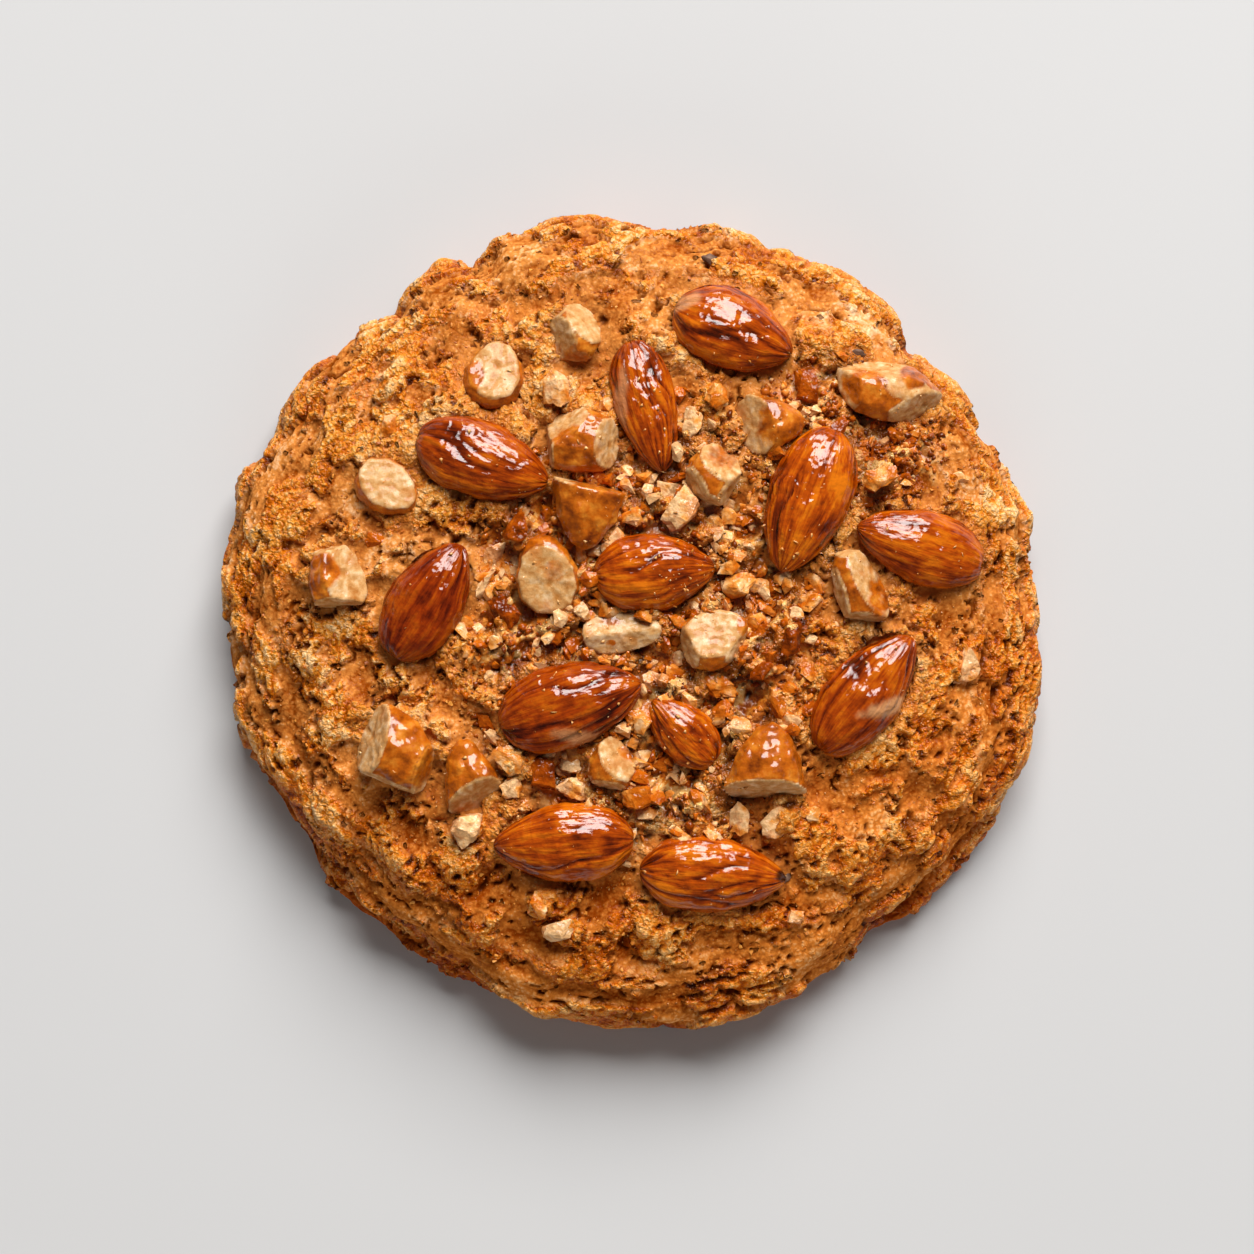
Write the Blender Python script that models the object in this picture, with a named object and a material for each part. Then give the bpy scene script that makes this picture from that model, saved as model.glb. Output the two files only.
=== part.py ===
"""A praline cookie: a thick craggy round of baked dough with whole and chopped caramelised almonds.

Metres, +Z up. The flat underside lies on z = 0 and the outline is centred on the origin.
+X is the right of the cookie seen from above, +Y its top. Driving dimensions are in millimetres.
"""
import math
import random

import bmesh
import bpy
from mathutils import Matrix, Vector, noise
from mathutils.bvhtree import BVHTree

MM = 0.001

# The dough round.
COOKIE_RADIUS = 62.3
CROWN_HEIGHT = 21.5
RIM_HEIGHT = 7.5
UNDERCUT = 3.0
CROWN_SQUARENESS = 2.7
CROWN_SHOULDER = 2.1
SPHERE_DETAIL = 6
DOUGH_TRIANGLES = 4090

# How the dough is shaped from a sphere: the share of its height that goes to the crown and to the
# side, how far the side runs on below the tray, and how suddenly the crown turns over at the rim.
TOP_SHARE = 1.42
SIDE_SHARE = 0.44
BELOW_TRAY = 1.6
RIM_TURN = 6.0
UNDERCUT_CURVE = 2.2

# Relief of the crust: wavelengths, rises and the cracks between lumps.
BROAD_WAVE = 19.0
BROAD_RISE = 1.1
LUMP_WAVE = 6.8
LUMP_RISE = 1.3
GRAIN_WAVE = 3.4
GRAIN_RISE = 0.6
CRACK_SPACING = 9.5
CRACK_DEPTH = 1.1
CRACK_WIDTH = 0.30
CRACK_WANDER = 2.6
SIDE_RELIEF = 0.4
RELIEF_FADE_HEIGHT = -2.0

# Swells and dips of the outline: direction in degrees, half width in degrees, rise in mm.
OUTLINE_SWELLS = (
    (342, 15, 2.2),
    (20, 11, 1.7),
    (42, 4, -1.5),
    (56, 7, 0.3),
    (70, 4, -0.6),
    (101, 7, 1.8),
    (113, 3, -1.6),
    (129, 4, -1.4),
    (142, 8, 1.3),
    (161, 9, 1.4),
    (185, 8, 0.5),
    (197, 7, 1.2),
    (205, 8, -0.5),
    (216, 4, -0.8),
    (231, 7, -0.9),
    (243, 5, -0.4),
    (253, 5, -0.5),
    (277, 7, 0.5),
    (308, 3, -0.6),
    (322, 8, 1.3),
)

# Creases where lobes of dough meet: from, to (mm), depth and half width in mm. They grow shallower
# inwards by CREASE_FADE.
CREASE_FADE = 0.7
CREASES = (
    ((45.5, 44.0), (36.0, 42.0), 1.8, 1.3),
    ((-23.5, 58.5), (-19.0, 50.0), 1.9, 1.3),
    ((-38.5, 50.0), (-30.0, 43.0), 1.7, 1.4),
    ((22.0, 59.5), (18.0, 51.5), 1.3, 1.2),
    ((-56.5, 31.0), (-47.0, 27.0), 1.1, 1.2),
    ((39.5, -50.0), (33.5, -41.0), 1.6, 1.3),
    ((-60.0, -8.0), (-52.5, -22.0), 1.4, 1.2),
    ((-30.0, -46.5), (-14.0, -53.5), 1.3, 1.2),
    ((9.0, -50.5), (22.0, -47.5), 1.1, 1.2),
    ((-51.0, 12.0), (-53.0, 1.0), 1.1, 1.2),
    ((51.5, -20.5), (44.0, -33.0), 1.4, 1.3),
    ((-2.0, 54.0), (8.0, 52.5), 1.0, 1.2),
)

# Stretches of the side where the top crust has lifted off a thinner base lip:
# direction of the middle and half width in degrees.
LIFTED_CRUSTS = ((224, 27), (318, 15))
LIFTED_FADE = (0.7, 1.2)
LIP_HEIGHT = 3.2
LIP_WIDTH = 2.4
LIP_SPREAD = 1.0
SEAM_HEIGHT = 6.2
SEAM_WIDTH = 1.5
SEAM_DEPTH = 1.7
CRUST_SETBACK = 2.0
SETBACK_START = 0.6

# Whole almonds: middle (x, y), length, width, direction of the pointed tip in degrees.
WHOLE_ALMONDS = (
    ((15.5, 44.2), 19.4, 12.6, -22),
    ((2.2, 32.7), 20.8, 9.6, -76),
    ((-22.6, 24.4), 21.2, 12.0, -19),
    ((26.7, 18.3), 23.2, 12.8, 68),
    ((43.9, 11.4), 20.6, 11.4, 164),
    ((-30.9, 3.1), 20.0, 11.8, 238),
    ((3.4, 7.5), 18.4, 12.0, 184),
    ((-9.3, -12.6), 22.6, 13.0, 17),
    ((35.4, -10.9), 22.2, 11.8, 231),
    ((-10.3, -33.6), 21.4, 12.2, 3),
    ((12.3, -38.4), 22.2, 11.8, -4),
    ((7.8, -16.7), 13.4, 8.6, 136),
)
ALMOND_THICKNESS = 0.66
ALMOND_LIFT = 0.9
ALMOND_SIDES = (12, 8)
TAPER = 0.16
TIP_TAPER = 0.13

# Chopped almonds: middle of the kernel (x, y), length, width, direction of the tip, lift out of the
# dough, and the knife's cuts: the direction each cut face looks, how far it leans back, and how far
# it lies from the middle.
CHOPPED_ALMONDS = (
    ((-6.3, 20.4), 20.0, 11.6, -96, 1.4, ((76, 12, 0.2),)),
    ((-7.6, 27.3), 19.0, 10.2, -8, 1.8, ((-6, 32, 3.7), (128, 38, 3.2), (184, 10, 4.8))),
    ((-8.5, 44.0), 12.0, 8.6, 62, 1.6, ((38, 42, 1.8), (206, 38, 2.2), (-96, 12, 3.9))),
    ((-20.9, 37.4), 11.2, 9.4, 78, 0.4, ((60, 80, 1.6),)),
    ((-37.1, 20.3), 11.0, 8.4, -35, 0.6, ((40, 78, 1.4),)),
    ((-44.6, 6.6), 13.0, 9.6, 104, 1.6, ((18, 46, 1.5), (-84, 14, 3.8), (100, 16, 4.4))),
    ((-36.3, -19.7), 18.0, 12.4, -38, 1.8, ((158, 36, 3.0), (-112, 16, 4.6), (-20, 14, 5.6))),
    ((-23.9, -25.8), 17.0, 9.2, 104, 1.6, ((-58, 38, 0.6),)),
    ((20.2, -25.4), 21.0, 12.8, 84, 1.7, ((-92, 28, 0.2),)),
    ((18.6, 29.7), 16.0, 9.8, 4, 1.5, ((194, 44, 0.0),)),
    ((12.6, 22.6), 12.0, 8.6, 66, 1.4, ((52, 48, 1.7), (-34, 24, 3.3), (206, 30, 3.5), (246, 10, 4.2))),
    ((39.2, 35.4), 18.6, 11.0, -14, 1.6, ((98, 40, 2.8), (188, 22, 6.2), (-62, 30, 4.2))),
    ((34.5, 5.4), 13.6, 8.8, 112, 1.7, ((28, 46, 1.6), (-92, 18, 4.8), (96, 20, 5.0), (196, 22, 3.4))),
    ((-12.9, 7.2), 12.6, 9.8, 102, 0.9, ((-98, 81, 1.5),)),
    ((-1.4, -1.7), 12.8, 7.0, 6, 0.9, ((96, 66, 0.9), (-84, 66, 0.9))),
    ((12.5, -2.6), 11.4, 9.2, 28, 1.0, ((86, 72, 1.6), (-24, 34, 3.5), (196, 30, 4.0))),
    ((-2.9, -21.5), 9.6, 7.4, 80, 1.1, ((44, 50, 1.2), (-100, 20, 3.4))),
)
CHOPPED_SIDES = (10, 6)
CUT_SNAP = 0.02
CORNER_MERGE = 0.15

# Chips that are baked on: middle (x, y), length, width, direction of the length in degrees.
CHIPS = (
    ((-25.0, -30.9), 5.9, 5.0, 60),
    ((-10.8, -47.0), 5.2, 3.6, 20),
    ((-13.9, -43.2), 4.2, 3.6, -30),
    ((51.4, -6.3), 6.8, 4.6, 50),
    ((49.9, 21.8), 2.6, 2.2, 0),
    ((-36.9, 30.0), 3.9, 2.7, 80),
    ((-11.6, 35.2), 5.0, 4.0, 100),
    ((9.2, 30.6), 4.8, 3.0, 80),
    ((12.8, 34.0), 3.8, 3.4, 30),
    ((26.9, 35.4), 5.8, 3.8, 100),
    ((37.6, 22.0), 5.0, 4.4, 10),
    ((7.6, 17.0), 6.8, 4.6, 60),
    ((12.9, 14.9), 3.6, 3.2, 0),
    ((16.2, 5.4), 4.8, 4.2, 20),
    ((27.2, 3.0), 4.2, 3.2, 70),
    ((-16.9, 14.4), 5.4, 4.6, 30),
    ((-20.9, 9.9), 4.0, 3.2, 60),
    ((-19.6, 2.4), 6.4, 4.6, 120),
    ((-38.9, 12.3), 2.8, 2.4, 0),
    ((-18.9, -20.6), 5.4, 3.6, 130),
    ((-18.3, -25.3), 3.6, 3.0, 0),
    ((-13.2, -23.2), 5.6, 4.2, 100),
    ((0.9, -14.1), 3.4, 3.0, 0),
    ((-8.6, -21.5), 4.6, 3.4, 10),
    ((-8.2, -25.4), 5.4, 3.6, -20),
    ((12.6, -9.6), 6.2, 4.2, -30),
    ((19.6, -7.3), 4.0, 3.4, 80),
    ((21.8, -12.4), 5.0, 3.0, 100),
    ((19.6, -1.9), 4.2, 3.0, 10),
    ((24.3, -2.2), 5.6, 3.6, 80),
    ((16.2, -30.0), 4.4, 3.0, 90),
    ((22.0, -30.4), 5.0, 4.2, 40),
    ((27.4, -29.2), 2.6, 2.2, 0),
    ((24.9, -45.2), 2.6, 2.2, 0),
    ((31.0, 29.4), 4.0, 3.4, 40),
    ((1.0, -26.6), 4.6, 3.8, 20),
)
CHIP_THICKNESS = 0.62
CHIP_LIFT = 0.18
CHIP_UNEVENNESS = (0.86, 1.12)

# Finer bits of praline between the nuts.
CRUMB_COUNT = 14
CRUMB_SIZES = (1.7, 2.9)
CRUMB_NARROWNESS = (0.7, 0.95)
PRALINE_MIDDLE = Vector((2.0, -1.0))
PRALINE_REACH = Vector((29.0, 36.0))
CRUMB_SPACING = 3.0
CRUMB_TRIES = 4000
NUT_KEEPOUT = 0.40
CHIP_KEEPOUT = 0.55
SEED = 11
CRACK_SEED = 1795523660

# How nuts sit in the dough: the gap round them and the step over which the crown's slope is read.
CLEARANCE = 0.3
SLOPE_STEP = 2.0

# Colour and roughness of each material.
DOUGH_FINISH = ((0.53, 0.215, 0.055), 0.72)
SKIN_FINISH = ((0.30, 0.065, 0.008), 0.22)
CUT_FINISH = ((0.72, 0.47, 0.24), 0.45)


def clear_scene():
    for old in list(bpy.data.objects):
        bpy.data.objects.remove(old, do_unlink=True)


def collection(name):
    made = bpy.data.collections.new(name)
    bpy.context.scene.collection.children.link(made)
    return made


def material(name, colour, roughness):
    made = bpy.data.materials.new(name)
    made.use_nodes = True
    shader = made.node_tree.nodes["Principled BSDF"]
    shader.inputs["Base Color"].default_value = (*colour, 1.0)
    shader.inputs["Roughness"].default_value = roughness
    shader.inputs["Metallic"].default_value = 0.0
    return made


def smooth_step(low, high, value):
    share = min(1.0, max(0.0, (value - low) / (high - low)))
    return share * share * (3.0 - 2.0 * share)


def degrees_apart(first, second):
    return abs((first - second + 180.0) % 360.0 - 180.0)


def outline_radius(direction):
    """Radius of the cookie's outline in mm, in a direction in degrees."""
    radius = COOKIE_RADIUS
    for middle, half_width, rise in OUTLINE_SWELLS:
        radius += rise * math.exp(-((degrees_apart(direction, middle) / half_width) ** 2))
    return radius


def crust_lifted(direction):
    """From 0 to 1: how far the top crust has lifted off its base in this direction."""
    lifted = 0.0
    for middle, half_width in LIFTED_CRUSTS:
        off = degrees_apart(direction, middle)
        fade = smooth_step(half_width * LIFTED_FADE[0], half_width * LIFTED_FADE[1], off)
        lifted = max(lifted, 1.0 - fade)
    return lifted


def crown_profile(share):
    """Height in mm of the smooth crown at a share of the radius."""
    rise = (1.0 - min(1.0, share) ** CROWN_SQUARENESS) ** (1.0 / CROWN_SHOULDER)
    return RIM_HEIGHT + (CROWN_HEIGHT - RIM_HEIGHT) * rise


def crown_height(x, y):
    direction = math.degrees(math.atan2(y, x))
    return crown_profile(math.hypot(x, y) / outline_radius(direction))


def crown_slope(x, y):
    """The way up out of the smooth crown at a place in mm."""
    across = crown_height(x - SLOPE_STEP, y) - crown_height(x + SLOPE_STEP, y)
    along = crown_height(x, y - SLOPE_STEP) - crown_height(x, y + SLOPE_STEP)
    return Vector((across, along, 2.0 * SLOPE_STEP)).normalized()


def bump_at(height, middle, width):
    """A soft bump from 0 to 1 at a height in mm."""
    return math.exp(-(((height - middle) / width) ** 2))


def smooth_form(toward):
    """Maps a point of the unit sphere to the smooth cookie, evenly spread, and gives the way out."""
    direction = math.degrees(math.atan2(toward.y, toward.x))
    radius = outline_radius(direction)
    depth = 1.0 - toward.z
    lifted = crust_lifted(direction)
    if depth < TOP_SHARE:
        share = math.sqrt(depth / TOP_SHARE)
        height = crown_profile(share)
        share *= 1.0 - lifted * CRUST_SETBACK / radius * smooth_step(SETBACK_START, 1.0, share)
        rise = max(0.0, 1.0 - share ** RIM_TURN)
    else:
        down = (depth - TOP_SHARE) / SIDE_SHARE
        height = RIM_HEIGHT - (RIM_HEIGHT + BELOW_TRAY) * min(1.0, down)
        tuck = UNDERCUT * min(1.0, down) ** UNDERCUT_CURVE
        seam = SEAM_DEPTH * bump_at(height, SEAM_HEIGHT, SEAM_WIDTH)
        lip = LIP_SPREAD * bump_at(height, LIP_HEIGHT, LIP_WIDTH)
        setback = CRUST_SETBACK * smooth_step(LIP_HEIGHT, RIM_HEIGHT, height)
        share = 1.0 - (tuck + lifted * (setback + seam - lip)) / radius
        if down > 1.0:
            share *= math.sqrt(max(0.0, 2.0 - depth) / (2.0 - TOP_SHARE - SIDE_SHARE))
        rise = 0.0
    flat = Vector((math.cos(math.radians(direction)), math.sin(math.radians(direction)), 0.0))
    place = flat * (radius * share)
    place.z = height
    outward = (flat * math.sqrt(1.0 - rise * rise) + Vector((0.0, 0.0, rise))).normalized()
    return place, outward


def crust_relief(place):
    """Rise in mm of the crust's lumps, cracks and rough grain over the smooth form."""
    warped = place + noise.noise_vector(place / LUMP_WAVE) * CRACK_WANDER
    distances, _ = noise.voronoi(warped / CRACK_SPACING)
    crack = 1.0 - smooth_step(0.0, CRACK_WIDTH, distances[1] - distances[0])
    broad = noise.noise(place / BROAD_WAVE) * BROAD_RISE
    lumps = noise.noise(place / LUMP_WAVE + Vector((7.0, 3.0, 1.0))) * LUMP_RISE
    grain = noise.noise(place / GRAIN_WAVE + Vector((1.0, 9.0, 5.0))) * GRAIN_RISE
    relief = broad + lumps + grain - CRACK_DEPTH * crack
    if place.z < RIM_HEIGHT:
        shown = smooth_step(RELIEF_FADE_HEIGHT, RIM_HEIGHT, place.z)
        relief *= SIDE_RELIEF + (1.0 - SIDE_RELIEF) * shown
    return relief


def crease_depth(place):
    """Depth in mm of the named creases at a place in plan."""
    depth = 0.0
    for start, end, deepest, half_width in CREASES:
        start = Vector(start)
        run = Vector(end) - start
        share = min(1.0, max(0.0, (place.xy - start).dot(run) / run.length_squared))
        away = (place.xy - start - run * share).length / half_width
        depth += deepest * (1.0 - CREASE_FADE * share) * math.exp(-away * away)
    return depth


def shaped_dough(group, finish):
    """The craggy round of dough as one object, with even facets and its flat underside on z = 0."""
    blob = bmesh.new()
    bmesh.ops.create_icosphere(blob, subdivisions=SPHERE_DETAIL, radius=1.0)
    for vertex in blob.verts:
        place, outward = smooth_form(vertex.co.normalized())
        vertex.co = place + outward * (crust_relief(place) - crease_depth(place))
    triangles = len(blob.faces)
    dough = object_from(blob, "cookie", group, finish)
    thin = dough.modifiers.new("even facets", "DECIMATE")
    thin.ratio = DOUGH_TRIANGLES / triangles
    bpy.context.view_layer.objects.active = dough
    bpy.ops.object.modifier_apply(modifier=thin.name)
    rest_flat(dough)
    return dough


def rest_flat(dough):
    """Cuts the dough flat where it lay on the tray and centres its outline on the origin."""
    mesh = bmesh.new()
    mesh.from_mesh(dough.data)
    everything = mesh.verts[:] + mesh.edges[:] + mesh.faces[:]
    cut = bmesh.ops.bisect_plane(
        mesh, geom=everything, plane_co=(0, 0, 0), plane_no=(0, 0, -1), clear_outer=True
    )
    rim = [edge for edge in cut["geom_cut"] if isinstance(edge, bmesh.types.BMEdge)]
    bmesh.ops.holes_fill(mesh, edges=rim, sides=0)
    face_outwards(mesh)
    bmesh.ops.translate(mesh, verts=mesh.verts[:], vec=-box_middle(mesh.verts))
    mesh.to_mesh(dough.data)
    mesh.free()


def face_outwards(closed):
    bmesh.ops.recalc_face_normals(closed, faces=closed.faces[:])
    if closed.calc_volume(signed=True) < 0.0:
        bmesh.ops.reverse_faces(closed, faces=closed.faces[:])


def box_middle(vertices):
    across = [vertex.co.x for vertex in vertices]
    along = [vertex.co.y for vertex in vertices]
    return Vector(((min(across) + max(across)) / 2, (min(along) + max(along)) / 2, 0.0))


def object_from(mesh_in_mm, name, group, finish):
    bmesh.ops.scale(mesh_in_mm, vec=(MM, MM, MM), verts=mesh_in_mm.verts[:])
    mesh = bpy.data.meshes.new(name)
    mesh_in_mm.to_mesh(mesh)
    mesh_in_mm.free()
    if finish:
        mesh.materials.append(finish)
    made = bpy.data.objects.new(name, mesh)
    group.objects.link(made)
    return made


def surface_in_mm(made):
    corners = [vertex.co / MM for vertex in made.data.vertices]
    faces = [polygon.vertices[:] for polygon in made.data.polygons]
    return BVHTree.FromPolygons(corners, faces)


def surface_height(surface, x, y, reach):
    """Mean height in mm of the dough under a piece that reaches this far from its middle."""
    heights = []
    for across, along in ((0, 0), (reach, 0), (-reach, 0), (0, reach), (0, -reach)):
        above = Vector((x + across, y + along, CROWN_HEIGHT * 2.0))
        hit = surface.ray_cast(above, Vector((0, 0, -1)))[0]
        if hit is not None:
            heights.append(hit.z)
    return sum(heights) / len(heights)


def seat(surface, middle, reach, lift, turn):
    """Matrix in mm that lays a piece on the crown, turned in plan by degrees."""
    x, y = middle
    upward = crown_slope(x, y)
    tilt = Vector((0, 0, 1)).rotation_difference(upward).to_matrix().to_4x4()
    height = surface_height(surface, x, y, reach) + lift
    turned = Matrix.Rotation(math.radians(turn), 4, "Z")
    return Matrix.Translation((x, y, height)) @ tilt @ turned


def placed(made, matrix_in_mm):
    made.matrix_world = Matrix.Translation(matrix_in_mm.to_translation() * MM) @ (
        matrix_in_mm.to_3x3().to_4x4()
    )


def kernel_mesh(length, width, segments, rings, grown=0.0):
    """An almond in mm: a rounded broad end at -X, a pointed tip at +X, flatter than it is wide."""
    thickness = width * ALMOND_THICKNESS
    kernel = bmesh.new()
    lengthwise = Matrix.Rotation(math.radians(90.0), 4, "Y")
    bmesh.ops.create_uvsphere(
        kernel, u_segments=segments, v_segments=rings, radius=1.0, matrix=lengthwise
    )
    for vertex in kernel.verts:
        along = vertex.co.x
        taper = 1.0 - TAPER * along - TIP_TAPER * max(0.0, along) ** 2
        vertex.co.x *= length / 2 + grown
        vertex.co.y *= taper * (width / 2 + grown)
        vertex.co.z *= (1.0 + taper) / 2 * (thickness / 2 + grown)
    return kernel


def cut_face(kernel, toward, lean, distance):
    """Slices the kernel with a flat face that looks this way in plan and leans back to the sky."""
    flat = math.cos(math.radians(lean))
    outward = Vector((
        flat * math.cos(math.radians(toward)),
        flat * math.sin(math.radians(toward)),
        math.sin(math.radians(lean)),
    ))
    everything = kernel.verts[:] + kernel.edges[:] + kernel.faces[:]
    cut = bmesh.ops.bisect_plane(
        kernel,
        geom=everything,
        dist=CUT_SNAP,
        plane_co=outward * distance,
        plane_no=outward,
        clear_outer=True,
    )
    edges = [edge for edge in cut["geom_cut"] if isinstance(edge, bmesh.types.BMEdge)]
    bmesh.ops.holes_fill(kernel, edges=edges, sides=0)


def finished_kernel(length, width, turn, cuts, segments, rings, grown=0.0):
    kernel = kernel_mesh(length, width, segments, rings, grown)
    for toward, lean, distance in cuts:
        cut_face(kernel, toward - turn, lean, distance + grown)
    bmesh.ops.remove_doubles(kernel, verts=kernel.verts[:], dist=CORNER_MERGE)
    face_outwards(kernel)
    return kernel


def add_kernel(name, surface, spec, finish, groups, sides):
    """One nut in its own node, and the slightly larger shape that makes its hollow in the dough."""
    middle, length, width, turn, lift, cuts = spec
    pieces, cutters = groups
    matrix = seat(surface, middle, width / 3, lift, turn)
    nut = object_from(finished_kernel(length, width, turn, cuts, *sides), name, pieces, finish)
    placed(nut, matrix)
    grown = finished_kernel(length, width, turn, cuts, *sides, grown=CLEARANCE)
    hollow = object_from(grown, f"hollow_for_{name}", cutters, None)
    placed(hollow, matrix)


def add_chip(name, surface, spec, draw, group):
    """An angular chip with about twenty faces, pressed into the crust."""
    middle, length, width, turn = spec
    chip = bmesh.new()
    bmesh.ops.create_icosphere(chip, subdivisions=1, radius=1.0)
    for vertex in chip.verts:
        vertex.co *= draw.uniform(*CHIP_UNEVENNESS)
        vertex.co.x *= length / 2
        vertex.co.y *= width / 2
        vertex.co.z *= width * CHIP_THICKNESS / 2
    matrix = seat(surface, middle, width / 4, CHIP_LIFT * width, turn)
    placed(object_from(chip, name, group, None), matrix)


def crumb_places(draw):
    """Places for the finer bits, kept apart from the nuts, the chips and each other."""
    taken = [(Vector(nut[0]), nut[1] * NUT_KEEPOUT) for nut in WHOLE_ALMONDS + CHOPPED_ALMONDS]
    taken += [(Vector(chip[0]), chip[1] * CHIP_KEEPOUT) for chip in CHIPS]
    places = []
    for _ in range(CRUMB_TRIES):
        if len(places) == CRUMB_COUNT:
            break
        angle = draw.uniform(0.0, 2.0 * math.pi)
        out = math.sqrt(draw.random())
        x = PRALINE_MIDDLE.x + math.cos(angle) * out * PRALINE_REACH.x
        y = PRALINE_MIDDLE.y + math.sin(angle) * out * PRALINE_REACH.y
        place = Vector((x, y))
        if all((place - other).length > reach + CRUMB_SPACING / 2 for other, reach in taken):
            places.append(place)
            taken.append((place, CRUMB_SPACING / 2))
    return places


def apply_boolean(dough, operation, group):
    """Joins the collection's shapes to the dough or cuts them out of it, and removes the shapes."""
    boolean = dough.modifiers.new(operation.lower(), "BOOLEAN")
    boolean.operation = operation
    boolean.operand_type = "COLLECTION"
    boolean.collection = group
    boolean.solver = "EXACT"
    bpy.context.view_layer.objects.active = dough
    bpy.ops.object.modifier_apply(modifier=boolean.name)
    for used in list(group.objects):
        bpy.data.objects.remove(used, do_unlink=True)
    bpy.data.collections.remove(group)


def keep_main_body(dough):
    """Drops scraps that the knife-thin overlaps left loose, and fills any sealed hollow."""
    mesh = bmesh.new()
    mesh.from_mesh(dough.data)
    unseen = set(mesh.faces)
    bodies = []
    while unseen:
        body = [unseen.pop()]
        for face in body:
            for edge in face.edges:
                for neighbour in edge.link_faces:
                    if neighbour in unseen:
                        unseen.discard(neighbour)
                        body.append(neighbour)
        bodies.append(body)
    bodies.sort(key=len)
    for scrap in bodies[:-1]:
        bmesh.ops.delete(mesh, geom=scrap, context="FACES")
    mesh.to_mesh(dough.data)
    mesh.free()


def main():
    clear_scene()
    pieces = collection("praline_cookie")
    cutters = collection("hollows")
    baked_on = collection("baked_on_bits")
    crust = material("baked dough", *DOUGH_FINISH)
    skin = material("caramelised almond skin", *SKIN_FINISH)
    cut_nut = material("cut almond", *CUT_FINISH)

    noise.seed_set(CRACK_SEED)
    dough = shaped_dough(pieces, crust)
    surface = surface_in_mm(dough)

    draw = random.Random(SEED)
    for index, spec in enumerate(CHIPS):
        add_chip(f"chip_{index:02d}", surface, spec, draw, baked_on)
    for index, place in enumerate(crumb_places(draw)):
        size = draw.uniform(*CRUMB_SIZES)
        spec = (place, size, size * draw.uniform(*CRUMB_NARROWNESS), draw.uniform(0.0, 180.0))
        add_chip(f"crumb_{index:02d}", surface, spec, draw, baked_on)
    apply_boolean(dough, "UNION", baked_on)

    groups = (pieces, cutters)
    for index, (middle, length, width, turn) in enumerate(WHOLE_ALMONDS):
        spec = (middle, length, width, turn, ALMOND_LIFT, ())
        add_kernel(f"almond_{index + 1:02d}", surface, spec, skin, groups, ALMOND_SIDES)
    for index, spec in enumerate(CHOPPED_ALMONDS):
        add_kernel(f"chopped_{index + 1:02d}", surface, spec, cut_nut, groups, CHOPPED_SIDES)

    apply_boolean(dough, "DIFFERENCE", cutters)
    keep_main_body(dough)


main()
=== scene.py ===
"""The looks of the praline cookie: craggy dough, caramelised almonds and chopped praline."""

import math
import random

import bmesh
import bpy
import numpy as np
from mathutils import Matrix, Vector, noise
from mathutils.bvhtree import BVHTree


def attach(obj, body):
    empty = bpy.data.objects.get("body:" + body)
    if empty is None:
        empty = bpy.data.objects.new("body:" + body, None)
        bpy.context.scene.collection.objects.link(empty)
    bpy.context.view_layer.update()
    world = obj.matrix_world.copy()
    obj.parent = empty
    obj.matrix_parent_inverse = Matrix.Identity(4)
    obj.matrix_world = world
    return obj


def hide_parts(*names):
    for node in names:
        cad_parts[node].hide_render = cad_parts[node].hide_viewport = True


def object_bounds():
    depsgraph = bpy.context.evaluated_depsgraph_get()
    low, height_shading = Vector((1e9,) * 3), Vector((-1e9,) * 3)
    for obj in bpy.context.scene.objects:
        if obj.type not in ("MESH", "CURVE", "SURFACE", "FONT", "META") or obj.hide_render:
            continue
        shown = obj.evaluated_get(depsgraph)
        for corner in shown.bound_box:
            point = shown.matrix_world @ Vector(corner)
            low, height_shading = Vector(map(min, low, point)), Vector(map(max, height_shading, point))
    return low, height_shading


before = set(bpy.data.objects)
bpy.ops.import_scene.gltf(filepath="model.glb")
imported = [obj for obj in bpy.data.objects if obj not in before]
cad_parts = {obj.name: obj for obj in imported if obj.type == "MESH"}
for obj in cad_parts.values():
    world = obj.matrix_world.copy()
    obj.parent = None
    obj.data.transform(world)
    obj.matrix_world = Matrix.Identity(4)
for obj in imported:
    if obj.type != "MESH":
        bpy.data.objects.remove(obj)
cad_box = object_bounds()


# The baked dough. A thick round of brown sugar dough, baked on a tray until its crust cracked into
# golden lumps with paler crumb between them. It starts as the solid's own form, with the hollows
# under the nuts closed over, and gets its fine crags, cracks and pores here.
MM = 0.001
SKY = 0.1
UP = Vector((0.0, 0.0, 1.0))
DOWN = Vector((0.0, 0.0, -1.0))
NUT_NODES = sorted(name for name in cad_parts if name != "cookie")

# The skin's mesh, how far the dough fills the hollows under the nuts, and how it grips their sides.
SAME_CORNER = 0.001 * MM
SKIN_SPACING = 0.52 * MM
FACET_SMOOTHING = 14
BASE_LEVEL = 0.25 * MM
ON_BASE = 0.01 * MM
HOLLOW_GAP = 0.46 * MM
NUT_RISE = 0.9 * MM
NUT_SEARCH = 4.0 * MM
GRIP_REACH = 0.55 * MM
GRIP_DEPTH = 0.30 * MM
SUNK_UNDER = 0.8 * MM
BED = (0.2, 3.6)

# Where the praline lies and spills, which side is painted in shade, and where the foot and the rim
# are, in mm.
PRALINE_MIDDLE = (2.0, -1.0)
PRALINE_REACH = (31.0, 38.0)
SPILL_MIDDLE = (32.0, 28.0)
SPILL_REACH = (17.0, 13.0)
PRALINE_EDGE = (0.62, 1.02)
RAGGED_WAVE = 9.0
RAGGED = 0.22
FOOT = (1.5, 8.0)
BASE_FADE = 3.0
SHADED_SIDE = (0.3, -1.0)
SIDE_SHADE_SPAN = (-20.0, 45.0)
RIM = (50.0, 57.0)
RIM_STRETCH = 36.0

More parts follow.
